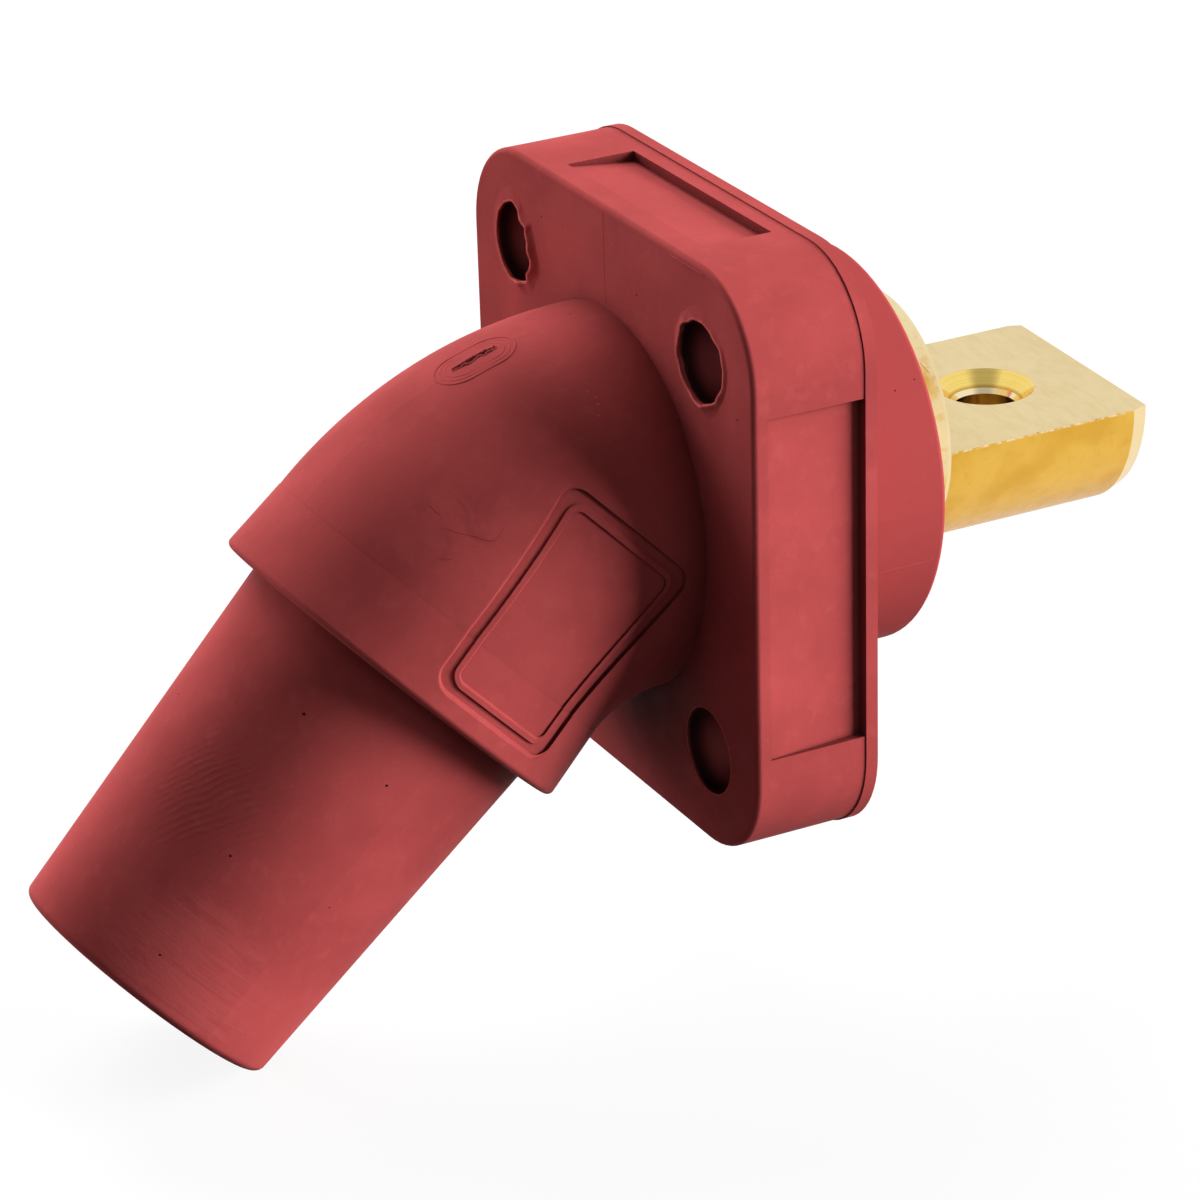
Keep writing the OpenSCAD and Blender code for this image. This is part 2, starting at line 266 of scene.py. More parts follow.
# Brass: the milled flat, the turned sides, the pale edges and the countersink
BRASS_FLAT, BRASS_FLAT_DULL = linear(240, 219, 168), linear(230, 206, 150)
BRASS_SIDE, BRASS_STAIN = linear(233, 184, 80), linear(216, 161, 54)
BRASS_DEEP = linear(204, 148, 40)
BRASS_PALE, BRASS_TOP_REFLECTION = linear(248, 230, 186), linear(234, 212, 156)
BRASS_SINK, SINK_FOOT = linear(250, 218, 120), linear(184, 136, 44)
HOLE_WALL = linear(222, 200, 146)
# Stain on the stub between the boss and the flat
STAIN_AT = (12.0, 17.0, 10.0)


def brass_material():
    """Satin brass, with its colour changing from face to face, and painted highlights on the stub and along
    the flat's edges.
    """
    m = Nodes("brass_satin")
    place = m.place()
    normal = m.add("ShaderNodeSeparateXYZ", {0: m.add("ShaderNodeNewGeometry").outputs["Normal"]}).outputs
    at = m.add("ShaderNodeSeparateXYZ", {0: place}).outputs
    cloud = m.noise(place, 0.14, 3, 0.5)
    fleck = m.noise(place, 0.9, 4, 0.65)
    milling = m.noise(m.vector("MULTIPLY", place, (0.3, 1.1, 1.0)), 1.0, 4, 0.6)
    turning = m.noise(m.vector("MULTIPLY", place, (0.2, 5.0, 0.2)), 1.0, 3, 0.6)

    # Milled flat, with faint marks of the cutter across it
    flat = m.both(m.ramp(normal["Z"], 0.95, 0.99), m.ramp(at["Y"], FLAT_START - 0.2, FLAT_START))
    top = m.mix(m.ramp(milling, 0.4, 0.75, 0, 0.6), BRASS_FLAT, BRASS_FLAT_DULL)
    top = m.mix(m.ramp(cloud, 0.5, 0.7, 0, 0.4), top, BRASS_FLAT_DULL)

    # Turned sides, with soft stains, deeper low down and paler on the end chamfer
    side = m.mix(m.ramp(cloud, 0.4, 0.65, 0, 0.7), BRASS_SIDE, BRASS_STAIN)
    side = m.mix(m.ramp(fleck, 0.55, 0.75, 0, 0.35), side, BRASS_STAIN)
    side = m.mix(m.ramp(at["Z"], -4.0, -10.0, 0, 0.6), side, BRASS_DEEP)
    # Painted reflection: the stub's faces that look up are painted cream
    stub_top_reflection = m.both(m.ramp(normal["Z"], 0.6, 0.95), m.ramp(at["Y"], FLAT_START, FLAT_START - 0.1))
    side = m.mix(stub_top_reflection, side, BRASS_TOP_REFLECTION)
    # Painted highlights: a pale band by the boss, the stub's upper half, a pale line where the stub ends at
    # the flat and pale lines along the flat's edges
    strip = m.ramp(at["Y"], BOSS_LENGTH + 0.9, BOSS_LENGTH + 2.2, 0.75, 0)
    unstained = m.math("SUBTRACT", 1.0, m.near(place, STAIN_AT, 0.6, 2.6))
    stub = m.both(m.ramp(at["Y"], FLAT_START - 0.1, FLAT_START, 0.7, 0), m.ramp(at["Z"], -3.0, 1.0),
                  unstained, m.ramp(fleck, 0.62, 0.5, 0.6, 1.0))
    strip = m.math("MAXIMUM", strip, stub)
    rim = m.both(m.ramp(at["Y"], FLAT_START - 0.45, FLAT_START - 0.3),
                 m.ramp(at["Y"], FLAT_START + 0.1, FLAT_START))
    edge = m.both(m.ramp(at["Z"], FLAT_LEVEL - 0.3, FLAT_LEVEL - 0.12), m.ramp(fleck, 0.4, 0.6),
                  m.ramp(at["Y"], FLAT_START - 0.1, FLAT_START))
    chamfer = m.both(m.ramp(normal["Y"], 0.2, 0.3), m.ramp(at["Y"], FLAT_START + 20, FLAT_START + 22))
    pale = m.math("MAXIMUM", strip, m.math("MULTIPLY", rim, 0.8))
    pale = m.math("MAXIMUM", pale, m.math("MULTIPLY", edge, 0.8))
    pale = m.math("MAXIMUM", pale, m.math("MULTIPLY", chamfer, 0.75))
    side = m.mix(pale, side, BRASS_PALE)

    # Bright countersink with rings left by its cutter, above a pale lead-in and the darker hole
    out = m.vector("SUBTRACT", place, (0, BOLT_AT, 0))
    away = m.vector("LENGTH", m.vector("MULTIPLY", out, (1, 1, 0)))
    below = m.ramp(at["Z"], FLAT_LEVEL - 0.03, FLAT_LEVEL - 0.01, 1, 0)
    sink = m.both(m.ramp(away, SINK_RADIUS + 0.1, SINK_RADIUS + 0.2, 1, 0), below)
    rings = m.noise(m.add("ShaderNodeCombineXYZ", {"X": at["Z"]}).outputs[0], 9.0, 2, 0.7)
    cone = m.mix(m.ramp(rings, 0.45, 0.7, 0, 0.3), BRASS_SINK, SINK_FOOT)
    cone = m.mix(m.ramp(at["Z"], SINK_FLOOR + 0.1, SINK_FLOOR + 0.35, 0.7, 0), cone, SINK_FOOT)
    cone = m.mix(m.ramp(at["Z"], SINK_FLOOR - 0.05, SINK_FLOOR, 1, 0), cone, BRASS_PALE)
    cone = m.mix(m.ramp(at["Z"], LEAD_FLOOR - 0.1, LEAD_FLOOR - 0.05, 1, 0), cone, HOLE_WALL)

    colour = m.mix(flat, side, top)
    colour = m.mix(sink, colour, cone)
    rough = m.math("ADD", m.ramp(fleck, 0.3, 0.7, 0.3, 0.38), m.math("MULTIPLY", flat, 0.1))
    rough = m.math("SUBTRACT", rough, m.math("MULTIPLY", sink, 0.18))
    milled = m.math("MULTIPLY", m.math("MULTIPLY", milling, flat), 0.01)
    turned = m.math("MULTIPLY", m.math("MULTIPLY", turning, m.math("SUBTRACT", 1.0, flat)), 0.006)
    height = m.math("ADD", milled, turned)
    bump = m.add("ShaderNodeBump", {"Strength": 0.4, "Distance": MM, "Height": height})
    shader = m.add("ShaderNodeBsdfPrincipled", {"Base Color": colour, "Metallic": 1.0, "Roughness": rough,
                                                "Normal": bump.outputs["Normal"]})
    return m.finish(shader.outputs[0])


def dress(node, material):
    """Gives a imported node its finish."""
    nodes[node].data.materials.clear()
    nodes[node].data.materials.append(material)


ELASTOMER = elastomer_material()
# Dark sheets laid on the surface: painted shade of the gate slit and of the pits
SLIT_AND_PIT_SHADE = dark_material("elastomer_slit_and_pit_shade", linear(24, 9, 9), linear(56, 21, 21))
FAINT = dark_material("elastomer_marked", linear(96, 38, 38), linear(124, 50, 50))
# Pale for scuffs, and for a painted highlight on the crests of the torn rims
SCUFF_AND_HIGHLIGHT = dark_material("elastomer_scuffs_and_highlight", linear(206, 98, 96), linear(178, 76, 74))
BRASS = brass_material()
dress("housing", ELASTOMER)
dress("contact_socket", BRASS)
dress("busbar_terminal", BRASS)


def piece(name, points, faces, material):
    """Smooth mesh piece on the part, from points in millimetres."""
    mesh = bpy.data.meshes.new(name)
    mesh.from_pydata([tuple(np.asarray(p) * MM) for p in points], [], faces)
    mesh.materials.append(material)
    mesh.polygons.foreach_set("use_smooth", [True] * len(mesh.polygons))
    mesh.validate()
    made = bpy.data.objects.new(name, mesh)
    bpy.context.scene.collection.objects.link(made)
    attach(made, "root")
    return made


def touch(node, point, direction):
    """Point and normal where a line from a point in millimetres meets a node."""
    hit, at, normal, _ = nodes[node].ray_cast(Vector(point) * MM, Vector(direction))
    if not hit:
        raise ValueError(f"nothing of {node} below {tuple(point)}")
    return np.array(at) / MM, np.array(normal)


def strip_faces(rows, columns, closed):
    """Faces between neighbouring rows of points, each row a line or a ring."""
    faces = []
    for i in range(rows - 1):
        for j in range(columns if closed else columns - 1):
            k = (j + 1) % columns
            faces.append((i * columns + j, i * columns + k, (i + 1) * columns + k, (i + 1) * columns + j))
    return faces


def wobble(seed, count, rough=1.0):
    """Smooth repeatable values around zero, one for each step round a ring."""
    draw = np.random.default_rng(seed)
    turn = np.linspace(0, 2 * math.pi, count, endpoint=False)
    total = np.zeros(count)
    for wave in range(2, 16):
        total += draw.normal() * np.cos(wave * turn + draw.uniform(0, 2 * math.pi)) / wave ** rough
    return total / np.abs(total).max()


# Torn rims of the two upper screw recesses, by angle from +X towards +Z: the rim's distance from the centre,
# the height of its lip, and how far the swelling behind the lip spreads
RIM_LEFT = [
    (-165, 4.72), (-149, 4.74), (-142, 4.74), (-128, 4.72), (-109, 4.6), (-90, 4.27), (-75, 4.17),
    (-53, 4.16), (-35, 3.99), (-21, 4.35), (-8, 4.29), (6, 3.74), (20, 3.64), (34, 3.63), (43, 4.0),
    (53, 3.71), (68, 3.8), (75, 4.15), (85, 4.39), (94, 4.7), (106, 4.73), (118, 4.74), (133, 4.74),
    (145, 4.74), (166, 4.73)]
LIP_LEFT = [(-150, 0.1), (-100, 0.2), (-80, 0.6), (-65, 0.3), (-45, 0.6), (-10, 0.7), (30, 0.7),
            (60, 0.4), (100, 0.2), (140, 0.12)]
SPREAD_LEFT = [(-150, 1.0), (-60, 1.8), (0, 1.2), (60, 1.2), (100, 2.2), (140, 1.6)]
RIM_RIGHT = [
    (-171, 4.73), (-160, 4.5), (-148, 4.52), (-130, 4.38), (-114, 4.38), (-99, 4.37), (-82, 4.35),
    (-77, 4.1), (-54, 4.24), (-34, 4.31), (-18, 4.47), (-1, 4.6), (11, 4.7), (21, 4.67), (36, 4.7),
    (52, 4.5), (65, 4.49), (79, 4.56), (92, 4.51), (109, 4.54), (123, 4.6), (132, 4.74), (137, 4.74),
    (149, 4.73), (165, 4.73)]
LIP_RIGHT = [(-150, 0.35), (-90, 0.45), (-75, 0.7), (-50, 0.35), (0, 0.3), (60, 0.15), (110, 0.2),
             (135, 0.35), (150, 0.3), (170, 0.3)]
SPREAD_RIGHT = [(-150, 1.2), (-90, 1.4), (-75, 1.8), (-40, 0.9), (30, 0.9), (90, 2.0), (140, 1.4)]
RIM_STEPS, RIM_TEAR = 180, 0.11
# Rows of faces along the crest, painted pale as a highlight along the torn lip
CREST_HIGHLIGHT_ROWS = (2, 3)


def torn_rim(name, centre, rim, lip, spread, seed):
    """Ragged lip round a recess: a low swelling of the face that ends in a torn edge over the hole."""
    turn = np.linspace(-180, 180, RIM_STEPS, endpoint=False)
    inner, swelling, spread = (np.interp(turn, *np.array(line).T, period=360)
                               for line in (rim, lip, spread))
    inner = np.minimum(inner + RIM_TEAR * wobble(seed, RIM_STEPS, 0.6), HEAD_RADIUS - 0.01)
    crest = swelling * (1 + 0.5 * wobble(seed + 1, RIM_STEPS, 0.4))
    level = np.ones(RIM_STEPS)
    rows = [(inner + 0.3, -0.9 * level), (inner + 0.06, -0.3 * level),
            (inner, crest * 0.6), (inner + 0.1, crest), (inner + 0.3, 0.4 * crest + 0.4 * swelling),
            (inner + 0.3 + 0.25 * spread, swelling * 0.4), (inner + 0.7 * spread, swelling * 0.1),
            (inner + spread, -0.02 * level)]
    points = []
    for radius, rise in rows:
        for a, r, h in zip(np.radians(turn), radius, rise):
            points.append((centre[0] + r * math.cos(a), FRONT_FACE - h, centre[1] + r * math.sin(a)))
    made = piece(name, points, strip_faces(len(rows), RIM_STEPS, True), ELASTOMER)
    # The crest is painted pale: a painted highlight
    made.data.materials.append(SCUFF_AND_HIGHLIGHT)
    for face in made.data.polygons:
        face.material_index = 1 if face.index // RIM_STEPS in CREST_HIGHLIGHT_ROWS else 0


torn_rim("torn_rim_left", (-HOLE_X, HOLE_Z), RIM_LEFT, LIP_LEFT, SPREAD_LEFT, 11)
torn_rim("torn_rim_right", (HOLE_X, HOLE_Z), RIM_RIGHT, LIP_RIGHT, SPREAD_RIGHT, 23)


def ridge(name, node, path, width, height, material, aim, closed=False):
    """Low ridge that follows a node's surface under a path; width and height may change along it."""
    path = [np.asarray(p, float) for p in path]
    count = len(path)
    width = np.broadcast_to(width, count)
    height = np.broadcast_to(height, count)
    seats = [touch(node, p, aim) for p in path]
    rows = [[], [], [], []]
    for i, (at, normal) in enumerate(seats):
        before = seats[(i - 1) % count if closed else max(i - 1, 0)][0]
        after = seats[(i + 1) % count if closed else min(i + 1, count - 1)][0]
        side = np.cross(after - before, normal)
        side /= np.linalg.norm(side)
        for row, (across, up) in zip(rows, ((-0.5, -0.02), (-0.2, 1.0), (0.2, 1.0), (0.5, -0.02))):
            lift = up * height[i] if up > 0 else up
            row.append(at + side * across * width[i] + normal * lift)
    points = [p for row in rows for p in row]
    return piece(name, points, strip_faces(4, count, closed), material)


# Gate mark on top of the elbow: rings round a torn slit, each a half length, a half width and a height
GATE_AT, GATE_ABOVE = (-0.15, -30.2), 30.0
GATE_RINGS = ((4.5, 3.0, 0.07), (3.9, 2.4, 0.03), (3.3, 1.8, 0.03))
GATE_STEPS, GATE_LINE = 96, 0.3
SLIT_REACH, SLIT_HALF_WIDTH, SLIT_STEPS = 2.55, 0.3, 40


def stadium(half_length, half_width):
    """Rounded oval about the elbow's top line, seen from above."""
    path = []
    straight = half_length - half_width
    for a in np.linspace(0, 2 * math.pi, GATE_STEPS, endpoint=False):
        y = half_width * math.cos(a)
        path.append((half_width * math.sin(a), GATE_AT[1] + y + math.copysign(straight, y), GATE_ABOVE))
    return path


for index, (half_length, half_width, height) in enumerate(GATE_RINGS):
    oval = stadium(half_length, half_width)
    ridge(f"gate_ring_{index + 1}", "housing", oval, GATE_LINE, height, ELASTOMER, DOWN,
          closed=True)

slit_run = np.linspace(-SLIT_REACH, SLIT_REACH, SLIT_STEPS)
slit_side = 0.14 * wobble(5, SLIT_STEPS, 0.8)
slit_half = SLIT_HALF_WIDTH * np.sqrt(np.clip(1 - (slit_run / (SLIT_REACH + 0.05)) ** 2, 0, 1))
slit_half = slit_half * (1 + 0.35 * wobble(6, SLIT_STEPS, 0.5))
slit_path = [(GATE_AT[0] + x, GATE_AT[1] + y, GATE_ABOVE) for x, y in zip(slit_side, slit_run)]
# The slit is a thin dark sheet: painted shade of the torn gap
ridge("gate_slit_shade", "housing", slit_path, 2 * slit_half, 0.03, SLIT_AND_PIT_SHADE, DOWN)
for name, sign, seed in (("gate_lip_left", -1, 7), ("gate_lip_right", 1, 8)):
    lip_path = [(x + sign * (h + 0.1), y, z) for (x, y, z), h in zip(slit_path, slit_half)]
    lip_height = 0.09 * (1.2 + wobble(seed, SLIT_STEPS, 0.4))
    ridge(name, "housing", lip_path, GATE_LINE, lip_height, ELASTOMER, DOWN)

# Scuffed line round the lower right recess
RING_RADIUS, RING_WIDTH, RING_STEPS = 4.87, 0.22, 96
ring_path = [(HOLE_X + RING_RADIUS * math.cos(a), FRONT_FACE - 1, -HOLE_Z + RING_RADIUS * math.sin(a))
             for a in np.linspace(0, 2 * math.pi, RING_STEPS, endpoint=False)]
ring_height = 0.05 * (1.1 + wobble(12, RING_STEPS, 0.5))
ridge("recess_rim", "housing", ring_path, RING_WIDTH, ring_height, SCUFF_AND_HIGHLIGHT, INTO_FRONT,
      closed=True)

# Parting lines of the mould, and a torn flash along the flange's upper front edge
BEFORE_FRONT, BESIDE_BOSS = -30.0, 40.0
SEAM_WIDTH, SEAM_STEPS = 0.18, 40
SEAM_AT, SEAM_FOOT, SEAM_TOP, SEAM_HEIGHT = -0.2, 21.6, 32.0, 0.025
BOSS_SEAM_TURN = math.radians(-16)
BOSS_SEAM_START, BOSS_SEAM_END, BOSS_SEAM_HEIGHT = 0.6, 13.2, 0.04
FLASH_LEVEL, FLASH_LEFT, FLASH_RIGHT, FLASH_WIDTH, FLASH_STEPS = 32.0, 14.5, 21.5, 0.2, 60
seam_path = [(SEAM_AT, BEFORE_FRONT, z) for z in np.linspace(SEAM_FOOT, SEAM_TOP, SEAM_STEPS)]
ridge("front_seam", "housing", seam_path, SEAM_WIDTH, SEAM_HEIGHT, ELASTOMER, INTO_FRONT)
boss_aim = (-math.cos(BOSS_SEAM_TURN), 0, -math.sin(BOSS_SEAM_TURN))
boss_level = BESIDE_BOSS * math.tan(BOSS_SEAM_TURN) + BOSS_RISE
boss_path = [(BESIDE_BOSS, y, boss_level) for y in np.linspace(BOSS_SEAM_START, BOSS_SEAM_END, SEAM_STEPS)]
ridge("boss_seam", "housing", boss_path, SEAM_WIDTH, BOSS_SEAM_HEIGHT, ELASTOMER, boss_aim)
flash_run = np.linspace(FLASH_LEFT, FLASH_RIGHT, FLASH_STEPS)
flash_path = [(x, BEFORE_FRONT, FLASH_LEVEL + 0.05 * w)
              for x, w in zip(flash_run, wobble(9, FLASH_STEPS, 0.7))]
flash_height = 0.07 * (1.1 + wobble(10, FLASH_STEPS, 0.3))
ridge("front_flash", "housing", flash_path, FLASH_WIDTH, flash_height, ELASTOMER, INTO_FRONT)

# Hairline marks on the side of the elbow, as points on its surface
HAIRLINES = [
    [(11.85, -41.89, 9.28), (12.43, -41.62, 8.98), (13.05, -41.37, 8.6), (13.58, -41.07, 8.28)],
    [(14.11, -41.6, 7.37), (14.71, -40.87, 7.21), (15.33, -40.16, 6.94), (16.06, -39.16, 6.66),
     (16.63, -38.31, 6.39), (17.12, -37.54, 6.12), (17.36, -36.97, 6.09), (17.3, -36.46, 6.5),
     (17.08, -35.87, 7.18)],
    [(15.48, -42.72, 4.9), (16.03, -42.09, 4.63), (16.32, -41.43, 4.7)]]
HAIR_ABOVE, HAIR_AIM = 10, (-0.7, 0.35, -0.62)
HAIR_WIDTH, HAIR_HEIGHT = 0.11, 0.008
for index, line in enumerate(HAIRLINES):
    line = np.array(line)
    fine = np.linspace(0, len(line) - 1, 8 * len(line))
    path = np.stack([np.interp(fine, range(len(line)), line[:, axis]) for axis in range(3)], 1)
    path = path - HAIR_ABOVE * np.array(HAIR_AIM) + 0.06 * wobble(60 + index, len(path), 0.5)[:, None]
    width = HAIR_WIDTH * np.sin(np.linspace(0.35, 2.8, len(path)))
    ridge(f"hairline_{index + 1}", "housing", path, width, HAIR_HEIGHT, FAINT, HAIR_AIM)

# Sloped edges of the sunk badge and of the rib in it
BADGE_LENGTH, BADGE_WIDTH, BADGE_AT = 25.4, 17.2, 5.8
BADGE_CORNER, RIB_CORNER, RIB_FROM, RIB_TO = 2.2, 1.7, 1.4, 1.9
BADGE_UP = np.array((0, -math.sin(NOSE_TURN), math.cos(NOSE_TURN)))
BADGE_ABOVE = (40, 0, 0)
BEND_STEPS, STRAIGHT_STEPS = 12, 60
DRAFT_BULGE, DRAFT_SINK = np.array((0.06, 0, 0)), np.array((0.01, 0, 0))
# Parts of the outline, in degrees from the badge's nose end towards its top
NOSE_AND_TOP, BACK_AND_FOOT = (-90, 180), (90, 360)


def badge_outline(inset, corner, turns):
    """Points on the housing along a part of the badge's outline, moved in by a distance."""
    half_length, half_width = BADGE_LENGTH / 2 - inset - corner, BADGE_WIDTH / 2 - inset - corner
    outline = []
    for start in range(turns[0], turns[1], 90):
        middle = math.radians(start + 45)
        centre = np.array((math.copysign(half_length, math.cos(middle)),
                           math.copysign(half_width, math.sin(middle))))
        quarter = np.radians(np.linspace(start, start + 90, BEND_STEPS))
        bend = [centre + corner * np.array((math.cos(a), math.sin(a))) for a in quarter]
        if outline:
            last = outline[-1]
            outline += [last + t * (bend[0] - last) for t in np.linspace(0.02, 0.98, STRAIGHT_STEPS)]
        outline += bend
    points = []
    for along, up in outline:
        on_axis = np.array(ELBOW_POINT) + (BADGE_AT + along) * np.array(NOSE_AXIS)
        points.append(touch("housing", on_axis + BADGE_ABOVE + up * BADGE_UP, INTO_SIDE)[0])
    return np.array(points)


def draft(name, top, foot, turns):
    """Sloped strip that thins out at its ends; its top edge and its foot are each an inset and a corner."""
    high, low = badge_outline(*top, turns), badge_outline(*foot, turns)
    step = np.arange(len(high))
    share = np.clip(np.minimum(step, step[::-1]) / BEND_STEPS, 0.05, 1)[:, None]
    foot_line = high + share * (low - high)
    bulge = high + 0.4 * share * (low - high) + share * DRAFT_BULGE
    points = np.concatenate([high - DRAFT_SINK, bulge, foot_line - DRAFT_SINK])
    piece(name, points, strip_faces(3, len(high), False), ELASTOMER)


draft("badge_edge", (-0.03, BADGE_CORNER + 0.03), (0.5, BADGE_CORNER - 0.5), NOSE_AND_TOP)
draft("badge_rib_inside", (RIB_TO - 0.03, RIB_CORNER - 0.47), (RIB_TO + 0.3, RIB_CORNER - 0.8), NOSE_AND_TOP)
draft("badge_rib_outside", (RIB_FROM + 0.03, RIB_CORNER - 0.03), (RIB_FROM - 0.3, RIB_CORNER + 0.3),
      BACK_AND_FOOT)

# Tiny burrs on the near edge of the flat: distance along the bar, against size
BURRS = [(21.4, 0.10), (23.0, 0.12), (24.8, 0.10), (26.1, 0.20), (27.6, 0.10), (29.2, 0.12), (30.9, 0.34),
         (32.2, 0.14), (33.6, 0.12), (35.0, 0.22), (36.5, 0.20), (38.4, 0.18), (39.3, 0.10), (41.2, 0.20),
         (42.3, 0.12)]
BURR_SIDES = 6


def burrs():
    """Irregular chips that cling to the edge between the flat and the round side."""
    draw = np.random.default_rng(31)
    edge = math.sqrt(BAR_RADIUS ** 2 - (FLAT_LEVEL - BAR_RISE) ** 2)
    points, faces = [], []
    for y, size in BURRS:
        base = len(points)
        centre = np.array((edge - 0.02, y, FLAT_LEVEL))
        for a in np.linspace(0, 2 * math.pi, BURR_SIDES, endpoint=False):
            reach = size * draw.uniform(0.5, 1.1)
            across = reach * math.cos(a)
            points.append(centre + (0.25 * across, 0.9 * reach * math.sin(a), -0.03 - 0.3 * across))
        points.append(centre + (0.4 * size, draw.uniform(-0.3, 0.3) * size, 0.45 * size))
        points.append(centre - (0.35 * size, 0, 0.35 * size))
        for j in range(BURR_SIDES):
            k = (j + 1) % BURR_SIDES
            faces.append((base + j, base + k, base + BURR_SIDES))
            faces.append((base + k, base + j, base + BURR_SIDES + 1))
    piece("edge_burrs", points, faces, BRASS)


burrs()

# Scratch on the stub, from one end to the other
SCRATCH = np.array(((10.61, 18.06, 11.88), (11.43, 18.7, 10.92)))
SCRATCH_ABOVE, SCRATCH_AIM, SCRATCH_STEPS = (20, 0, 15), (-0.8, 0, -0.6), 14
SCRATCH_WIDTH, SCRATCH_HEIGHT = 0.16, 0.05
scratch_path = [SCRATCH[0] + t * (SCRATCH[1] - SCRATCH[0]) + SCRATCH_ABOVE
                for t in np.linspace(0, 1, SCRATCH_STEPS)]
scratch_width = SCRATCH_WIDTH * np.sin(np.linspace(0.3, 2.8, SCRATCH_STEPS))
ridge("stub_scratch", "busbar_terminal", scratch_path, scratch_width, SCRATCH_HEIGHT, BRASS,
      SCRATCH_AIM)

# Tiny pits, drawn as dark patches of painted shade, and pale scuffs, each a place on the surface and its size
PITS = [((7.08, -14.5, 25.15), 0.14), ((-0.92, -18.35, 21.16), 0.11), ((28.36, -14.5, 18.51), 0.13),
        ((18.58, 10.04, 13.15), 0.11), ((18.16, 12.68, 13.75), 0.10), ((-14.62, -14.5, 27.19), 0.14),
        ((-3.26, -64.75, -13.02), 0.13), ((11.85, -56.94, -10.94), 0.21), ((13.25, -66.66, -24.23), 0.18),
        ((13.05, -75.14, -33.59), 0.15), ((16.73, -57.45, -31.2), 0.11), ((17.26, -50.45, -18.55), 0.17)]
FLECKS = [((10.31, -22.4, 18.02), 0.12), ((11.17, -22.63, 17.47), 0.16), ((11.89, -23.38, 16.87), 0.12),
          ((12.02, -22.15, 16.99), 0.2), ((12.71, -22.29, 16.48), 0.22), ((13.02, -23.41, 16.04), 0.12),
          ((13.73, -22.74, 15.59), 0.2), ((10.85, -21.98, 17.78), 0.12), ((5.04, -33.28, 17.16), 0.12)]
SPOT_SIDES, SPOT_ABOVE, SPOT_MIDDLE, SPOT_EDGE = 9, 5, 0.03, 0.01


def spots(name, places, material, stretch):
    """Small irregular patches that lie on the housing, each seated from the camera's side."""
    draw = np.random.default_rng(47)
    points, faces = [], []
    for place, size in places:
        toward = np.array(CAMERA_AT) / MM - place
        toward /= np.linalg.norm(toward)
        at, normal = touch("housing", np.array(place) + SPOT_ABOVE * toward, -toward)
        first = np.cross(normal, (0.3, 0.2, 0.93))
        first /= np.linalg.norm(first)
        second = np.cross(normal, first)
        base = len(points)
        points.append(at + SPOT_MIDDLE * normal)
        for a in np.linspace(0, 2 * math.pi, SPOT_SIDES, endpoint=False):
            reach = size * draw.uniform(0.7, 1.2)
            out = math.cos(a) * first + stretch * math.sin(a) * second
            points.append(at + reach * out + SPOT_EDGE * normal)
        for j in range(SPOT_SIDES):
            faces.append((base, base + 1 + j, base + 1 + (j + 1) % SPOT_SIDES))
    piece(name, points, faces, material)


# The pits are dark patches: painted shade of tiny holes
spots("pits", PITS, SLIT_AND_PIT_SHADE, 0.8)
spots("scuffs", FLECKS, SCUFF_AND_HIGHLIGHT, 0.45)

# Floor: its paint as it is seen and as it lights the part, and how much of its shadow shows
FLOOR_SIZE = 6.0
FLOOR_PALE = (0.9, 0.9, 0.9, 1)
FLOOR_BOUNCE = (0.04, 0.04, 0.04, 1)
FLOOR_SHADOW = 0.12


def floor_material():
    """White to the camera and to reflections, under a faint shadow, and dim to the light it returns."""
    m = Nodes("floor_white")
    rays = m.add("ShaderNodeLightPath").outputs
    seen = m.math("MAXIMUM", rays["Is Camera Ray"], rays["Is Glossy Ray"])
    paint = m.add("ShaderNodeBsdfDiffuse", {"Color": m.mix(seen, FLOOR_BOUNCE, FLOOR_PALE)})
    white = m.add("ShaderNodeEmission", {"Color": (1, 1, 1, 1), "Strength": 1.0})
    share = m.math("MULTIPLY", seen, 1 - FLOOR_SHADOW)
    both = m.add("ShaderNodeMixShader", {0: share, 1: paint.outputs[0], 2: white.outputs[0]})
    return m.finish(both.outputs[0])


def floor():
    """Plain floor under the part."""
    half = FLOOR_SIZE / 2
    level = cad_box[0][2]
    mesh = bpy.data.meshes.new("floor")
    mesh.from_pydata([(-half, -half, level), (half, -half, level), (half, half, level), (-half, half, level)],
                     [], [(0, 1, 2, 3)])
    mesh.materials.append(floor_material())
    made = bpy.data.objects.new("floor", mesh)
    bpy.context.scene.collection.objects.link(made)


def camera():
    """Camera at the photograph's angle."""
    turn, lift, roll = (math.radians(a) for a in (CAMERA_AZIMUTH, CAMERA_ELEVATION, CAMERA_ROLL))
    back = Vector((math.sin(turn) * math.cos(lift), -math.cos(turn) * math.cos(lift), math.sin(lift)))
    right = Vector((math.cos(turn), math.sin(turn), 0))
    up = back.cross(right)
    right, up = (math.cos(roll) * right + math.sin(roll) * up, math.cos(roll) * up - math.sin(roll) * right)
    data = bpy.data.cameras.new("camera")
    data.sensor_fit = "HORIZONTAL"
    data.sensor_width = SENSOR
    data.lens = CAMERA_LENS
    made = bpy.data.objects.new("camera", data)
    made.matrix_world = Matrix.Translation(CAMERA_AT) @ Matrix((right, up, back)).transposed().to_4x4()
    bpy.context.scene.collection.objects.link(made)
    bpy.context.scene.camera = made


# Soft lights: azimuth from -Y towards +X and elevation in degrees, size in metres, watts
LAMPS = {
    "right_panel": (146, 8, 1.0, 58),
    "left_panel": (307, 8, 0.9, 17.3),
    "back_panel": (262, 44, 1.0, 22.5),
    "front_panel": (95, 20, 0.7, 1.4),
    "fill_panel": (22, 15, 0.9, 1.0)}
LAMP_DISTANCE = 1.3


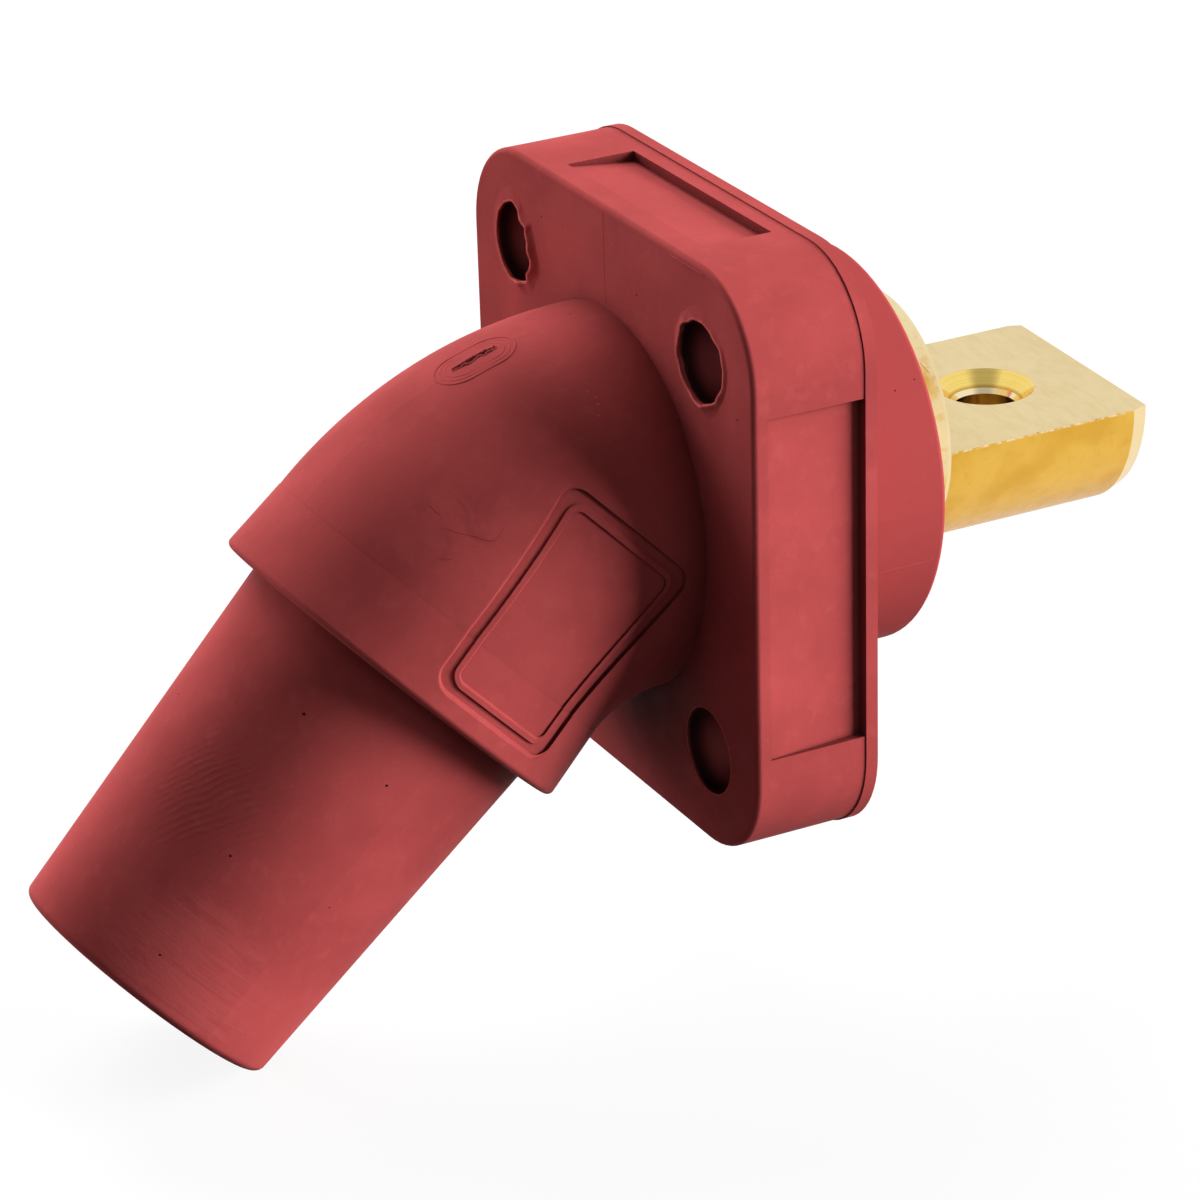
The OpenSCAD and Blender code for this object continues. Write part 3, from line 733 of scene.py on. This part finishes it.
def lamp(name, azimuth, elevation, size, watts):
    """Square soft light aimed at the origin, which the brass doesn't mirror."""
    turn, lift = math.radians(azimuth), math.radians(elevation)
    away = Vector((math.sin(turn) * math.cos(lift), -math.cos(turn) * math.cos(lift), math.sin(lift)))
    data = bpy.data.lights.new(name, "AREA")
    data.shape = "SQUARE"
    data.size = size
    data.energy = watts
    made = bpy.data.objects.new(name, data)
    made.visible_glossy = False
    aim = away.to_track_quat("Z", "Y").to_matrix().to_4x4()
    made.matrix_world = Matrix.Translation(away * LAMP_DISTANCE) @ aim
    bpy.context.scene.collection.objects.link(made)


# Strength of the studio to plain light and to reflections, with a darker part of the ceiling in these
AMBIENT, BRIGHT, DARK = 0.01, 0.97, 0.5
DARK_TOWARD, DARK_FROM, DARK_FULL = (0.51, -0.26, 0.82), 0.8, 0.98


def world():
    """Dim to light the part, pale in the brass's reflections, and white behind the floor."""
    made = bpy.data.worlds.new("studio")
    made.use_nodes = True
    tree = made.node_tree
    back = tree.nodes["Background"]
    back.inputs["Color"].default_value = (1, 1, 1, 1)
    rays = tree.nodes.new("ShaderNodeLightPath")
    toward = tree.nodes.new("ShaderNodeVectorMath")
    toward.operation = "DOT_PRODUCT"
    toward.inputs[1].default_value = DARK_TOWARD
    sky = tree.nodes.new("ShaderNodeMapRange")
    sky.interpolation_type = "SMOOTHSTEP"
    sky.inputs["From Min"].default_value = DARK_FROM
    sky.inputs["From Max"].default_value = DARK_FULL
    sky.inputs["To Min"].default_value = BRIGHT
    sky.inputs["To Max"].default_value = DARK
    level = tree.nodes.new("ShaderNodeMapRange")
    level.inputs["To Min"].default_value = AMBIENT
    tree.links.new(tree.nodes.new("ShaderNodeTexCoord").outputs["Generated"], toward.inputs[0])
    tree.links.new(toward.outputs["Value"], sky.inputs["Value"])
    tree.links.new(sky.outputs["Result"], level.inputs["To Max"])
    tree.links.new(rays.outputs["Is Glossy Ray"], level.inputs["Value"])
    shown = tree.nodes.new("ShaderNodeMath")
    shown.operation = "MAXIMUM"
    tree.links.new(level.outputs["Result"], shown.inputs[0])
    tree.links.new(rays.outputs["Is Camera Ray"], shown.inputs[1])
    tree.links.new(shown.outputs[0], back.inputs["Strength"])
    bpy.context.scene.world = made


floor()
camera()
world()
for name, values in LAMPS.items():
    lamp(name, *values)

bpy.context.scene.view_settings.view_transform = "Standard"
